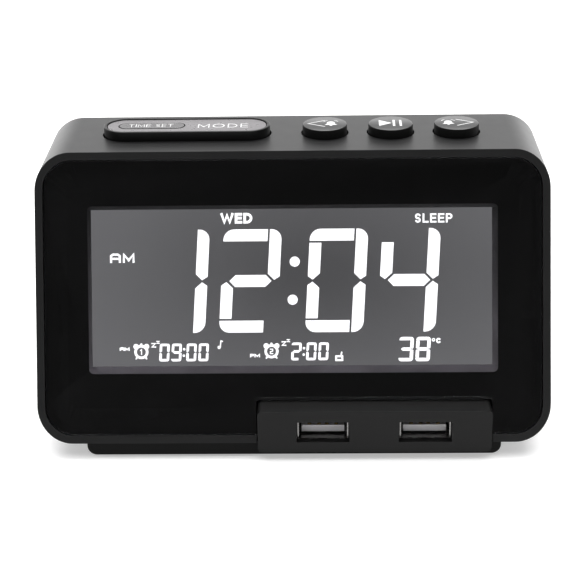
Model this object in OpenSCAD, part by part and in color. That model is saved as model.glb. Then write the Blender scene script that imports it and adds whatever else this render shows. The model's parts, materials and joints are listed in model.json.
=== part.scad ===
// Bedside clock radio. A wedge-fronted case stands on a low plinth, with keys on
// top, two USB sockets in a block at the lower right of the front, and a speaker,
// sockets and a cell hatch at the back.
// X runs right, Y runs back and Z runs up. The origin is on the table, under the
// middle of the whole radio.

/* [Case] */
// Width of the case
body_w = 133; // [132:0.5:136]
// Height of the case, without plinth and keys
body_h = 70; // [69.5:0.5:72]
// Depth of the case at its foot, rear cover included
body_d = 57; // [57:0.5:60]
// Lean of the front face from upright, in degrees
tilt = 22; // [21.5:0.5:22.5]
// Radius of the four long corners
corner_r = 9.2; // [8.8:0.2:9.8]
// Wall thickness
wall = 2.2; // [2:0.1:2.3]
// Thickness of the rear cover
cover_t = 3; // [2.8:0.1:3.2]

/* [Display] */
// Width of the rim round the front panel
rim = 2; // [1.8:0.1:2.2]
// How far the panel sits behind the rim
panel_inset = 0.5; // [0.3:0.1:0.6]
// Window in the mask, from side to side
window_w = 106.2; // [105:0.2:106.6]
// Window in the mask, from bottom to top
window_h = 43.6; // [43:0.2:44]
// Height of the window's lower edge, measured up the face
window_s = 18; // [17.8:0.1:18.2]

/* [USB block] */
// Width of the block
usb_w = 60.3; // [59.5:0.1:61]
// Middle of the block, right of the case's middle
usb_x = 20.95; // [20:0.05:22]
// How far the block stands in front of the case's foot
usb_proud = 1; // [0.8:0.1:1.2]
// Distance between the two sockets
socket_pitch = 26.4; // [25.5:0.1:27]

/* [Keys] */
// Diameter of the round buttons
button_d = 11.8; // [11.4:0.1:12]
// Distance between the round buttons
button_pitch = 17.4; // [17:0.1:17.6]
// Middle of the first round button
button_x = 8.67; // [8.4:0.01:9]
// Length of the long key's bezel
bezel_l = 44.1; // [43.6:0.1:44.4]
// Middle of the long key
bezel_x = -27.9; // [-28.1:0.1:-27.7]
// Height of the keys above the case
key_rise = 2.5; // [2.3:0.1:2.7]
// Travel of every key
key_travel = 0.6; // [0.4:0.1:0.6]

/* [Base] */
// Width of the plinth
plinth_w = 107.6; // [106:0.2:109]
// Height of the plinth
plinth_h = 3.9; // [3.8:0.1:4.2]
// How far the rubber feet stand out under the plinth
foot_rise = 0.8; // [0.7:0.1:1]

/* [Back] */
// Diameter of the speaker's flange
speaker_d = 38; // [37:0.5:39]
// Diameter of the grille's hole field
grille_d = 31; // [29:0.5:32]
// Distance between grille holes
grille_pitch = 2.9; // [2.8:0.1:3.2]
// Diameter of one grille hole
grille_hole = 1.7; // [1.4:0.1:1.8]

/* [Hidden] */
$fn = 64;

// Levels, from the table up
z0 = foot_rise + plinth_h;
z_top = z0 + body_h;
z_key = z_top + key_rise;
z_ceiling = z_top - wall;

// Depths, from the front to the back
y_back = (body_d + usb_proud)/2;
y_foot = y_back - body_d;
y_usb = y_foot - usb_proud;
y_seam = y_back - cover_t;
face_l = body_h/cos(tilt);
y_brow = y_foot + body_h*tan(tilt);
y_keys = (y_brow + y_back)/2;
slack = 0.15;

// Face stack: distances behind the rim, at right angles to the face
panel_t = 1.5;
mask_t = 0.2;
n_mask = panel_inset + panel_t;
n_ledge = n_mask + mask_t;
ledge_t = 1.8;
n_frame = n_ledge + 0.2;
n_lcd = n_frame + 0.8;
n_lip = n_lcd - 0.2;
cell_t = 1.1;
n_film = n_lcd + 2*cell_t;
film_t = 0.3;
n_guide = n_film + film_t;
guide_t = 2.5;
n_mirror = n_guide + guide_t;
n_frame_back = n_mirror + 0.5;
n_tab = 7;
n_board = 11;
board_t = 1.6;
n_parts = n_board + board_t;
n_plug = n_parts + 2;
plug_s0 = 20;
usb_plug_x = 36;
ribbon_x = -26;
ribbon_s1 = 60;
ribbon_s2 = 65.5;

// Depth and height of a point s up the face and n behind it
function face_y(s, n) = y_foot + s*sin(tilt) + n*cos(tilt);
function face_z(s, n) = z0 + s*cos(tilt) - n*sin(tilt);

// Face outlines, measured from side to side and up the face
panel_w = body_w - 2*rim;
panel_s0 = rim;
panel_s1 = face_l - rim;
panel_r = corner_r - rim + 0.4;
window_s1 = window_s + window_h;
opening_w = body_w - 16;
opening_s0 = 9;
opening_s1 = face_l - 7.5;
view_w = 104;
view_x = -0.3;
view_xs = [view_x - view_w/2, view_x + view_w/2];
view_s0 = 19.85;
view_s1 = 60.65;
lcd_w = 109;
lcd_s0 = 16;
lcd_s1 = 62.5;
frame_w = 114;
frame_s0 = 13;
frame_s1 = 65.5;
tab_x = 59.8;
tab_s = [18, 60];
screw_r = 1.1;

// USB block
usb_x0 = usb_x - usb_w/2;
usb_x1 = usb_x + usb_w/2;
usb_z0 = z0 - 2.26;
usb_z1 = z0 + 9.65;
usb_face_t = 1.9;
usb_block_l = 6.9;
usb_edge_r = 1.2;
notch_gap = 0.35;
hole_w = 13.7;
hole_h = 5.84;
hole_z = z0 + 3.59;
socket_x = [usb_x - socket_pitch/2 - 0.12, usb_x + socket_pitch/2 - 0.12];
shell_w = 13.1;
shell_h = 5.7;
shell_t = 0.3;
shell_y = y_usb + 1.7;
shell_l = 14;
tongue_y = y_usb + 4.2;
tongue_w = 11.1;
tongue_t = 1.84;
tongue_z = z0 + 1.6;
contact_x = [-3.5, -1, 1, 3.5];
usb_board_z = hole_z + shell_h/2;

// Keys
button_xs = [for (i = [0:2]) button_x + i*button_pitch];
bezel_w = button_d;
bezel_t = 0.75;
key_gap = 0.2;
hole_gap = 0.4;
bezel_flange = 1.3;
plate_l = bezel_l - 2*(bezel_t + key_gap);
plate_w = bezel_w - 2*(bezel_t + key_gap);
plate_drop = 0.25;
time_x = -37.2;
time_l = 17.3;
time_w = 4.5;
mode_stem_x = -16;
flange_t = 1;
z_flange = z_ceiling - 0.3;
z_mode_flange = z_flange - flange_t;
z_time_flange = z_mode_flange - flange_t - key_travel - 0.5;
z_plunger = z_time_flange - flange_t;
plunger_r = 1.7;
plunger_l = 2.2;
switch_h = 3.3;
switch_w = 6;
z_key_board = z_plunger - 1 - switch_h - board_t;
key_board_w = 116;
key_board_d = 15;
post_xs = [-54, -2, 54];
post_r = 2.4;
switch_xs = [mode_stem_x, time_x, button_xs[0], button_xs[1], button_xs[2]];

// Plinth, feet and their screws
plinth_y0 = y_foot + 1;
plinth_y1 = y_back - 3;
plinth_r = 2.5;
plinth_wall = 2;
foot_r = 5;
foot_t = foot_rise + 1;
foot_x = plinth_w/2 - 9;
foot_ys = [plinth_y0 + 9, plinth_y1 - 8];
base_screw_x = 34;
base_screw_ys = [-1, 18];
base_screw_l = 6;
z_base_boss = z0 + 4.5;
boss_r = 3;

// Rear cover, speaker, sockets and cell
cover_screw_x = body_w/2 - 9.5;
cover_screw_zs = [z0 + 10.5, z_top - 17];
cover_boss_l = 12;
lip_t = 1.2;
lip_d = 2;
speaker_z = 38;
speaker_screw = speaker_d*0.4;
magnet_r = 11;
coil_r = 4.6;
dc_x = -46;
dc_z = 17.6;
aux_x = -31;
aux_z = 14.8;
gland_x = -55;
gland_z = 28;
rear_board_z = 9.5;
rear_post_xs = [-56.5, -23.5];
rear_post_y = 11;
dc_bore_r = 3.15;
aux_bore_r = 1.8;
aux_depth = 14;
cell_x = 43;
cell_z = 38;
cell_r = 10;
cell_t2 = 3.2;
hatch_w = 25;
hatch_t = 1.6;
cell_y0 = y_back - hatch_t - 0.6 - cell_t2;
tray_wall = 1.5;
tray_d = 8.5;

// ---------- shared shapes ----------

module block(x, y, z) {
    translate([x[0], y[0], z[0]])
        cube([x[1] - x[0], y[1] - y[0], z[1] - z[0]]);
}

module round_rect(w, h, r) {
    square([w - 2*r, h], center = true);
    square([w, h - 2*r], center = true);
    for (sx = [-1, 1], sy = [-1, 1])
        translate([sx*(w/2 - r), sy*(h/2 - r)]) circle(r = r);
}

module stadium(l, w) {
    square([l - w, w], center = true);
    for (s = [-1, 1])
        translate([s*(l - w)/2, 0]) circle(d = w);
}

// A round bar along Y, between two depths
module bar_y(x, z, y, r) {
    translate([x, y[0], z]) rotate([-90, 0, 0]) cylinder(h = y[1] - y[0], r = r);
}

// A turned piece about the line along Y through (x, z): profile points are (radius, y)
module turned_y(x, z, points) {
    translate([x, 0, z]) rotate([-90, 0, 0]) rotate_extrude() polygon(points);
}

// An outline in X and Z, as thick as y says
module plate_y(y) {
    translate([0, y[1], 0]) rotate([90, 0, 0]) linear_extrude(y[1] - y[0]) children();
}

// The case's section, smaller all round by inset
module case_outline(inset = 0) {
    translate([0, z0 + body_h/2])
        round_rect(body_w - 2*inset, body_h - 2*inset, corner_r - inset);
}

// The face's own frame: x to the right, y straight in from the rim, z up the face
module on_face() {
    translate([0, y_foot, z0]) rotate([-tilt, 0, 0]) children();
}

// A rounded slab in the face's frame
module face_slab(x, s, n, r = 1) {
    on_face()
        translate([(x[0] + x[1])/2, n[1], (s[0] + s[1])/2])
            rotate([90, 0, 0])
                linear_extrude(n[1] - n[0]) round_rect(x[1] - x[0], s[1] - s[0], r);
}

module face_block(x, s, n) {
    on_face() block(x, n, s);
}

// A round bar at right angles to the face
module face_bar(x, s, n, r) {
    on_face() bar_y(x, s, n, r);
}

// All that lies in front of a plane parallel to the face
module in_front_of(n) {
    on_face() block([-body_w, body_w], [-3*body_d, n], [-body_h, 2*body_h]);
}

// The space that the USB block takes from its neighbours
module usb_notch() {
    block([usb_x0 - notch_gap, usb_x1 + notch_gap], [y_usb - 5, shell_y + shell_l + 1],
        [usb_z0 - 5, usb_z1 + notch_gap]);
}

// A pan-head screw along +Y, head first: y is the seat of its head
module screw_y(x, z, y, l, r, head_r, head_t) {
    difference() {
        union() {
            bar_y(x, z, [y - head_t, y], head_r);
            bar_y(x, z, [y - 0.1, y + l], r);
        }
        for (a = [0, 90])
            translate([x, y - head_t - 0.1, z]) rotate([0, a, 0])
                translate([-head_r*0.6, 0, -0.3]) cube([head_r*1.2, head_t*0.5, 0.6]);
    }
}

// A pan-head screw along +Z, head down, with its seat at the origin
module screw_up(l, r, head_r, head_t) {
    difference() {
        union() {
            translate([0, 0, -head_t]) cylinder(h = head_t, r = head_r);
            translate([0, 0, -0.1]) cylinder(h = l + 0.1, r = r);
        }
        for (a = [0, 90])
            rotate(a) translate([-head_r*0.6, -0.3, -head_t - 0.1])
                cube([head_r*1.2, 0.6, head_t*0.5]);
    }
}

// ---------- case, cover and base ----------

module main_case() color([0.09, 0.09, 0.09]) difference() {
    union() {
        difference() {
            plate_y([y_foot, y_seam]) case_outline();
            in_front_of(0);
            difference() {
                plate_y([y_foot - 1, y_seam + 1]) case_outline(wall);
                in_front_of(n_ledge + ledge_t);
            }
            face_slab([-panel_w/2, panel_w/2], [panel_s0, panel_s1], [-1, n_ledge], panel_r);
            face_slab([-opening_w/2, opening_w/2], [opening_s0, opening_s1],
                [0, n_ledge + ledge_t + 0.1], 3);
        }
        for (sx = [-1, 1], s = tab_s)
            face_bar(sx*tab_x, s, [n_ledge + ledge_t - 0.3, n_tab], 2.3);
        for (sx = [-1, 1], z = cover_screw_zs)
            cover_boss(sx, z);
        for (x = post_xs)
            translate([x, y_keys, z_key_board + board_t])
                cylinder(h = z_ceiling - z_key_board - board_t + 0.3, r = post_r);
        for (sx = [-1, 1], y = base_screw_ys)
            translate([sx*base_screw_x, y, z0 + wall - 0.3])
                cylinder(h = z_base_boss - z0 - wall + 0.3, r = boss_r);
        for (x = rear_post_xs)
            translate([x, rear_post_y, z0 + wall - 0.3])
                cylinder(h = rear_board_z - z0 - wall + 0.3, r = 2.4);
    }
    for (x = rear_post_xs)
        translate([x, rear_post_y, z0 + 1.8]) cylinder(h = 10, r = screw_r);
    for (sx = [-1, 1], s = tab_s)
        face_bar(sx*tab_x, s, [n_ledge + 0.6, n_tab + 1], screw_r);
    for (sx = [-1, 1], z = cover_screw_zs)
        bar_y(sx*cover_screw_x, z, [y_seam - cover_boss_l + 1, y_seam + 1], 1.3);
    for (x = post_xs)
        translate([x, y_keys, z_key_board]) cylinder(h = 7, r = screw_r);
    for (sx = [-1, 1], y = base_screw_ys)
        translate([sx*base_screw_x, y, z0 - 1]) cylinder(h = 6, r = 1.3);
    for (x = button_xs)
        translate([x, y_keys, z_ceiling - 1]) cylinder(h = wall + 2, r = button_d/2 + hole_gap);
    translate([bezel_x, y_keys, z_ceiling - 1]) linear_extrude(wall + 2)
        stadium(bezel_l + 2*hole_gap, bezel_w + 2*hole_gap);
    usb_notch();
}

module cover_boss(sx, z) {
    bar_y(sx*cover_screw_x, z, [y_seam - cover_boss_l, y_seam], boss_r);
    block(sx > 0 ? [cover_screw_x, body_w/2 - 1] : [1 - body_w/2, -cover_screw_x],
        [y_seam - cover_boss_l, y_seam], [z - 1.2, z + 1.2]);
}

// Centres of the grille's holes, in staggered rows
grille_rows = floor(grille_d/2/(grille_pitch*0.866));
grille_points = [for (j = [-grille_rows:grille_rows], i = [-8:8])
    let (p = [(i + (abs(j) % 2)/2)*grille_pitch, j*grille_pitch*0.866])
    if (norm(p) <= grille_d/2) p];

module rear_cover() color([0.10, 0.10, 0.10]) difference() {
    union() {
        plate_y([y_seam, y_back]) case_outline();
        difference() {
            plate_y([y_seam - lip_d, y_seam + 0.1]) case_outline(wall + slack);
            plate_y([y_seam - lip_d - 1, y_seam + 0.2]) case_outline(wall + slack + lip_t);
            for (sx = [-1, 1], z = cover_screw_zs)
                block([sx*cover_screw_x - 9, sx*cover_screw_x + 9], [y_seam - 9, y_seam],
                    [z - 3.4, z + 3.4]);
        }
        block([cell_x - hatch_w/2 - tray_wall, cell_x + hatch_w/2 + tray_wall],
            [y_back - tray_d - tray_wall, y_seam + 0.1],
            [cell_z - hatch_w/2 - tray_wall, cell_z + hatch_w/2 + tray_wall]);
    }
    for (p = grille_points)
        bar_y(p[0], speaker_z + p[1], [y_seam - 1, y_back + 1], grille_hole/2);
    bar_y(0, speaker_z, [y_seam - 1, y_seam + 1], speaker_d/2 - 1.5);
    for (sx = [-1, 1], sz = [-1, 1])
        bar_y(sx*speaker_screw, speaker_z + sz*speaker_screw, [y_seam - 1, y_back - 1.2], 0.9);
    for (sx = [-1, 1], z = cover_screw_zs) {
        bar_y(sx*cover_screw_x, z, [y_seam - 1, y_back + 1], 1.5);
        bar_y(sx*cover_screw_x, z, [y_back - 1.8, y_back + 1], 2.9);
    }
    bar_y(dc_x, dc_z, [y_seam - 1, y_back + 1], 4.2);
    bar_y(aux_x, aux_z, [y_seam - 1, y_back + 1], 3.2);
    bar_y(gland_x, gland_z, [y_seam - 1, y_back + 1], 2.4);
    bar_y(gland_x, gland_z, [y_back - 1, y_back + 1], 3.4);
    for (i = [-4:4])
        plate_y([y_seam - 1, y_back + 1])
            translate([i*5.2, z_top - 9]) stadium(3.6, 1.5);
    plate_y([y_back - hatch_t, y_back + 1])
        translate([cell_x, cell_z]) round_rect(hatch_w, hatch_w, 2);
    bar_y(cell_x, cell_z, [y_back - tray_d, y_back], cell_r + 0.3);
    block([cell_x, cell_x + cell_r + 0.6], [y_back - tray_d, y_back], [cell_z - 2.3, cell_z + 2.3]);
    for (sz = [-1, 1])
        block([cell_x - 3.1, cell_x + 3.1], [y_back - hatch_t - 2.6, y_back - hatch_t + 0.1],
            sz > 0 ? [cell_z + 5, cell_z + hatch_w/2] : [cell_z - hatch_w/2, cell_z - 5]);
}

// The plinth's end view: square at the top and rounded below
module plinth_outline() {
    r = plinth_r;
    translate([0, foot_rise]) {
        translate([r - plinth_w/2, 0]) square([plinth_w - 2*r, plinth_h]);
        translate([-plinth_w/2, r]) square([plinth_w, plinth_h - r]);
        intersection() {
            translate([-plinth_w/2, 0]) square([plinth_w, plinth_h]);
            for (sx = [-1, 1])
                translate([sx*(plinth_w/2 - r), r]) circle(r = r);
        }
    }
}

module base_plinth() color([0.10, 0.10, 0.10]) difference() {
    plate_y([plinth_y0, plinth_y1]) plinth_outline();
    difference() {
        block([-plinth_w/2 + 3, plinth_w/2 - 3], [plinth_y0 + plinth_wall, plinth_y1 - plinth_wall],
            [foot_rise + 2.2, z0 + 1]);
        for (sx = [-1, 1], y = base_screw_ys)
            translate([sx*base_screw_x, y, 0]) cylinder(h = z0 + 2, r = 4);
        for (x = [-12, 12])
            block([x - 0.8, x + 0.8], [plinth_y0, plinth_y1], [0, z0 + 2]);
        for (sx = [-1, 1], y = foot_ys)
            translate([sx*foot_x, y, 0]) cylinder(h = z0 + 2, r = foot_r + 1.5);
    }
    for (sx = [-1, 1], y = foot_ys)
        translate([sx*foot_x, y, -1]) cylinder(h = foot_t + 1, r = foot_r);
    for (sx = [-1, 1], y = base_screw_ys) {
        translate([sx*base_screw_x, y, -1]) cylinder(h = foot_rise + 2.9, r = 2.8);
        translate([sx*base_screw_x, y, 0]) cylinder(h = z0 + 1, r = 1.5);
    }
}

module rubber_feet() color([0.16, 0.16, 0.16])
    for (sx = [-1, 1], y = foot_ys)
        translate([sx*foot_x, y, 0]) rotate_extrude()
            polygon([[0, 0], [foot_r - 0.9, 0], [foot_r - 0.6, 0.3], [foot_r - 0.6, foot_rise],
                [foot_r, foot_rise + 0.2], [foot_r, foot_t], [0, foot_t]]);

module cover_screws() color([0.25, 0.25, 0.26])
    for (sx = [-1, 1], z = cover_screw_zs)
        mirror([0, 1, 0]) screw_y(sx*cover_screw_x, z, 1.8 - y_back, cover_boss_l - 2.2, 1.3, 2.6, 1.5);

module base_screws() color([0.25, 0.25, 0.26])
    for (sx = [-1, 1], y = base_screw_ys)
        translate([sx*base_screw_x, y, foot_rise + 1.9]) screw_up(base_screw_l, 1.3, 2.5, 1.5);

// ---------- front ----------

module front_panel() color([0.02, 0.02, 0.03]) difference() {
    face_slab([slack - panel_w/2, panel_w/2 - slack], [panel_s0 + slack, panel_s1 - slack],
        [panel_inset, n_mask], panel_r);
    usb_notch();
}

module panel_mask() color([0.01, 0.01, 0.01]) difference() {
    face_slab([slack - panel_w/2, panel_w/2 - slack], [panel_s0 + slack, panel_s1 - slack],
        [n_mask, n_ledge], panel_r);
    face_slab([-window_w/2, window_w/2], [window_s, window_s1], [0, n_ledge + 1], 1.3);
    usb_notch();
}

module lcd_frame() color([0.20, 0.19, 0.21]) difference() {
    union() {
        face_slab([-frame_w/2, frame_w/2], [frame_s0, frame_s1], [n_frame, n_frame_back], 1.5);
        for (sx = [-1, 1], s = tab_s) {
            face_slab(sx > 0 ? [frame_w/2 - 3, tab_x + 3] : [-tab_x - 3, 3 - frame_w/2],
                [s - 3.5, s + 3.5], [n_tab, n_tab + 1.8], 1);
            face_bar(sx*tab_x, s, [n_tab, n_board], 2.4);
        }
    }
    face_block(view_xs, [view_s0, view_s1], [0, n_lcd + 1]);
    frame_slopes();
    face_block([-lcd_w/2 - slack, lcd_w/2 + slack], [lcd_s0 - slack, lcd_s1 + slack],
        [n_lcd, n_frame_back + 1]);
    for (sx = [-1, 1], s = tab_s)
        face_bar(sx*tab_x, s, [n_tab - 1, n_board + 1], 1.3);
}

// The slopes round the opening, from the window's edge down to the lit field's
module frame_slopes() on_face() {
    n_front = n_frame - 1;
    translate([-window_w/2, 0, 0]) rotate([90, 0, 90]) linear_extrude(window_w)
        for (s = [[window_s, view_s0], [window_s1, view_s1]])
            polygon([[n_front, s[0]], [n_frame, s[0]], [n_lip, s[1]], [n_front, s[1]]]);
    translate([0, 0, view_s0]) linear_extrude(view_s1 - view_s0)
        for (x = [[-window_w/2, view_xs[0]], [window_w/2, view_xs[1]]])
            polygon([[x[0], n_front], [x[0], n_frame], [x[1], n_lip], [x[1], n_front]]);
}

// The front glass runs lower than the back one and carries the contacts
module lcd_glass() color([0.38, 0.38, 0.40]) {
    face_block([-lcd_w/2, lcd_w/2], [lcd_s0, lcd_s1], [n_lcd, n_lcd + cell_t]);
    face_block([-lcd_w/2, lcd_w/2], [lcd_s0 + 2.2, lcd_s1], [n_lcd + cell_t, n_film]);
}

module diffuser_film() color("white")
    face_block([-lcd_w/2, lcd_w/2], [lcd_s0 + 2.2, lcd_s1], [n_film, n_guide]);

module light_guide() color([0.85, 0.9, 0.92])
    face_block([2.2 - lcd_w/2, lcd_w/2], [lcd_s0 + 2.2, lcd_s1], [n_guide, n_mirror]);

module reflector_film() color("silver")
    face_block([-lcd_w/2, lcd_w/2], [lcd_s0 + 2.2, lcd_s1], [n_mirror, n_mirror + film_t]);

module backlight_board() color([0.9, 0.9, 0.85])
    face_block([-lcd_w/2, 0.8 - lcd_w/2], [lcd_s0 + 2.4, lcd_s1 - 0.2], [n_guide, n_mirror]);

module backlight_leds() color([0.95, 0.9, 0.6])
    for (i = [0:3])
        face_block([0.8 - lcd_w/2, 2 - lcd_w/2], [23.5 + i*10.5, 26.5 + i*10.5],
            [n_guide + 0.4, n_mirror - 0.4]);

module zebra_strip() color([0.8, 0.3, 0.5])
    face_block([-50, 50], [lcd_s0 + 0.1, lcd_s0 + 1.7], [n_lcd + cell_t, n_board]);

module main_board() color([0.05, 0.25, 0.13]) difference() {
    face_slab([-63, 63], [14, 64], [n_board, n_parts], 2);
    for (sx = [-1, 1], s = tab_s)
        face_bar(sx*tab_x, s, [n_board - 1, n_parts + 1], 1.3);
}

// The main chip with its pins, the amplifier and the clock crystal
module main_chip() color([0.07, 0.07, 0.07]) {
    face_block([-15, -5], [35, 45], [n_parts, n_parts + 1.4]);
    face_block([6, 12], [21, 29], [n_parts, n_parts + 1.5]);
    face_slab([-34, -23], [40.5, 45], [n_parts, n_parts + 3.4], 2.2);
    for (i = [0:7], s = [33.9, 45])
        face_block([-14 + i*1.1, -13.5 + i*1.1], [s, s + 1.1], [n_parts, n_parts + 0.4]);
    for (i = [0:7], x = [-16.1, -5])
        face_block([x, x + 1.1], [36 + i*1.1, 36.5 + i*1.1], [n_parts, n_parts + 0.4]);
}

module radio_module() color([0.75, 0.75, 0.77]) {
    face_block([31, 48], [41, 57], [n_parts, n_parts + 0.8]);
    face_slab([32, 45], [42, 56], [n_parts + 0.8, n_parts + 2.8], 0.8);
}

module capacitors() color([0.12, 0.12, 0.25])
    for (c = [[17, 22, 3.1, 7.5], [24.4, 22, 3.1, 7.5], [31, 22, 2.5, 6], [-24, 22, 2.5, 6]])
        face_bar(c[0], c[1], [n_parts, n_parts + c[3]], c[2]);

module wire_connectors() color([0.9, 0.88, 0.82]) {
    face_block([-46, -38], [plug_s0, plug_s0 + 6], [n_parts, n_parts + 4]);
    face_block([usb_plug_x, usb_plug_x + 10], [plug_s0, plug_s0 + 6], [n_parts, n_parts + 4]);
    face_block([ribbon_x - 1, ribbon_x + 13], [ribbon_s1 - 4, ribbon_s1], [n_parts, n_parts + 3]);
}

module display_screws() color([0.6, 0.6, 0.62])
    for (sx = [-1, 1], s = tab_s)
        on_face() mirror([0, 1, 0])
            screw_y(sx*tab_x, s, -n_parts, n_parts - n_ledge - 0.8, screw_r, 2, 1.3);

// ---------- USB block ----------

module usb_housing() color([0.13, 0.13, 0.13]) difference() {
    union() {
        plate_y([y_usb, y_usb + usb_face_t]) usb_outline(usb_z0);
        plate_y([y_usb + 0.5, y_usb + usb_block_l]) usb_outline(z0 + 0.05);
    }
    for (x = socket_x) {
        block([x - hole_w/2, x + hole_w/2], [y_usb - 1, shell_y],
            [hole_z - hole_h/2, hole_z + hole_h/2]);
        block([x - shell_w/2, x + shell_w/2], [shell_y - 1, y_usb + usb_block_l + 1],
            [hole_z - shell_h/2, hole_z + shell_h/2]);
    }
}

// The block seen from the front, down to the level z
module usb_outline(z) {
    translate([usb_x, (z + usb_z1)/2]) round_rect(usb_w, usb_z1 - z, usb_edge_r);
}

module usb_shells() color([0.75, 0.75, 0.77])
    for (x = socket_x) difference() {
        block([x - shell_w/2, x + shell_w/2], [shell_y, shell_y + shell_l],
            [hole_z - shell_h/2, hole_z + shell_h/2]);
        block([x - shell_w/2 + shell_t, x + shell_w/2 - shell_t],
            [shell_y - 1, shell_y + shell_l - shell_t],
            [hole_z - shell_h/2 + shell_t, hole_z + shell_h/2 - shell_t]);
    }

module usb_tongues() color([0.95, 0.95, 0.93])
    for (x = socket_x) {
        block([x - tongue_w/2, x + tongue_w/2], [tongue_y, shell_y + shell_l - 3],
            [tongue_z, tongue_z + tongue_t]);
        block([x - shell_w/2 + shell_t, x + shell_w/2 - shell_t],
            [shell_y + shell_l - 3.1, shell_y + shell_l - shell_t],
            [hole_z - shell_h/2 + shell_t, hole_z + shell_h/2 - shell_t]);
    }

module usb_contacts() color([0.85, 0.65, 0.25])
    for (x = socket_x, c = contact_x)
        block([x + c - 0.5, x + c + 0.5], [tongue_y + 0.5, shell_y + shell_l - 3.1],
            [tongue_z + tongue_t, tongue_z + tongue_t + 0.15]);

module usb_board() color([0.05, 0.25, 0.13])
    block([usb_x0 + 3, usb_x1 - 3], [y_usb + usb_block_l + 0.1, shell_y + shell_l + 7.3],
        [usb_board_z, usb_board_z + 1.2]);

// Flat four-way lead from the USB board up to the main board
module usb_lead() color([0.7, 0.7, 0.7]) {
    y = face_y(plug_s0, n_plug);
    z = face_z(plug_s0, n_plug);
    z_board = usb_board_z + 1.2;
    translate([usb_plug_x + 2, 0, 0]) rotate([90, 0, 90]) linear_extrude(6)
        polygon([[y - 2.6, z_board], [y + 0.5, z_board], [y + 0.5, z - 0.35], [y, z - 0.15],
            [y, z_board + 0.5], [y - 2.6, z_board + 0.5]]);
}

// ---------- keys ----------

// The frame round the long key, held from inside by a flange under the case's top
module key_bezel() color([0.12, 0.12, 0.12]) translate([bezel_x, y_keys, 0]) difference() {
    union() {
        translate([0, 0, z_ceiling - flange_t]) linear_extrude(z_key - z_ceiling + flange_t)
            stadium(bezel_l, bezel_w);
        translate([0, 0, z_ceiling - flange_t]) linear_extrude(flange_t)
            stadium(bezel_l + 2*bezel_flange, bezel_w + 2*bezel_flange);
    }
    translate([0, 0, z_ceiling - 2*flange_t]) linear_extrude(key_rise + wall + 3*flange_t)
        stadium(bezel_l - 2*bezel_t, bezel_w - 2*bezel_t);
}

module mode_key() color([0.55, 0.53, 0.55]) difference() {
    union() {
        translate([bezel_x, y_keys, z_mode_flange - flange_t])
            linear_extrude(z_key - plate_drop - z_mode_flange + flange_t) stadium(plate_l, plate_w);
        translate([bezel_x, y_keys, z_mode_flange - flange_t]) linear_extrude(flange_t)
            stadium(bezel_l, bezel_w);
        translate([mode_stem_x, y_keys, z_plunger])
            cylinder(h = z_mode_flange - z_plunger, r = 2);
    }
    translate([time_x, y_keys, z_plunger - 1]) linear_extrude(20)
        stadium(time_l + 2*key_gap, time_w + 2*key_gap);
}

module time_set_key() color([0.38, 0.37, 0.39]) translate([time_x, y_keys, 0]) {
    translate([0, 0, z_plunger]) linear_extrude(z_key - plate_drop + 0.05 - z_plunger)
        stadium(time_l, time_w);
    translate([0, 0, z_plunger]) linear_extrude(flange_t) stadium(time_l + 3, time_w + 3);
}

// A round button: cap with an eased edge, flange under the case and stem
module round_button(x) color([0.42, 0.42, 0.43]) translate([x, y_keys, 0]) {
    r = button_d/2;
    rotate_extrude() polygon([[0, z_plunger], [2, z_plunger], [2, z_flange - flange_t],
        [r + 1.3, z_flange - flange_t], [r + 1.3, z_flange], [r, z_flange],
        [r, z_key - 0.45], [r - 0.12, z_key - 0.15], [r - 0.45, z_key], [0, z_key]]);
}

module back_button() round_button(button_xs[0]);
module play_button() round_button(button_xs[1]);
module forward_button() round_button(button_xs[2]);

module plunger(x) color([0.15, 0.15, 0.16])
    translate([x, y_keys, z_plunger - plunger_l]) cylinder(h = plunger_l, r = plunger_r);

module mode_plunger() plunger(switch_xs[0]);
module time_set_plunger() plunger(switch_xs[1]);
module back_plunger() plunger(switch_xs[2]);
module play_plunger() plunger(switch_xs[3]);
module forward_plunger() plunger(switch_xs[4]);

module key_switches() color([0.6, 0.6, 0.6])
    for (x = switch_xs) translate([x, y_keys, z_key_board + board_t]) difference() {
        union() {
            block([-switch_w/2, switch_w/2], [-switch_w/2, switch_w/2], [0, switch_h]);
            for (sx = [-1, 1], sy = [-1, 1])
                block([sx*3.5 - 0.55, sx*3.5 + 0.55], [sy*2.2 - 0.35, sy*2.2 + 0.35], [0, 0.8]);
        }
        translate([0, 0, switch_h - plunger_l - 0.2])
            cylinder(h = plunger_l + 1, r = plunger_r + 0.25);
    }

module key_board() color([0.05, 0.25, 0.13]) difference() {
    block([-key_board_w/2, key_board_w/2], [y_keys - key_board_d/2, y_keys + key_board_d/2],
        [z_key_board, z_key_board + board_t]);
    for (x = post_xs)
        translate([x, y_keys, z_key_board - 1]) cylinder(h = board_t + 2, r = 1.3);
}

module board_screws() color([0.6, 0.6, 0.62]) {
    for (x = post_xs)
        translate([x, y_keys, z_key_board]) screw_up(6, screw_r, 2.2, 1.3);
    for (x = rear_post_xs)
        translate([x, rear_post_y, rear_board_z + board_t]) mirror([0, 0, 1])
            screw_up(board_t + 2.4, screw_r, 2.2, 1.3);
}

// Flat ribbon from the main board, past its upper edge, to the underside of the key board
module key_ribbon() color([0.85, 0.85, 0.8]) {
    n = n_parts + 1.5;
    t = 0.4;
    y = face_y(ribbon_s2, n);
    translate([ribbon_x, 0, 0]) rotate([90, 0, 90]) linear_extrude(12)
        polygon([[face_y(ribbon_s1, n), face_z(ribbon_s1, n)], [y, face_z(ribbon_s2, n)],
            [y, z_key_board], [y + 5, z_key_board], [y + 5, z_key_board - t],
            [y + t, z_key_board - t], [y + t, face_z(ribbon_s2, n)],
            [face_y(ribbon_s1, n + t), face_z(ribbon_s1, n + t)]]);
}

// ---------- back: sockets, speaker and cell ----------

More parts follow.
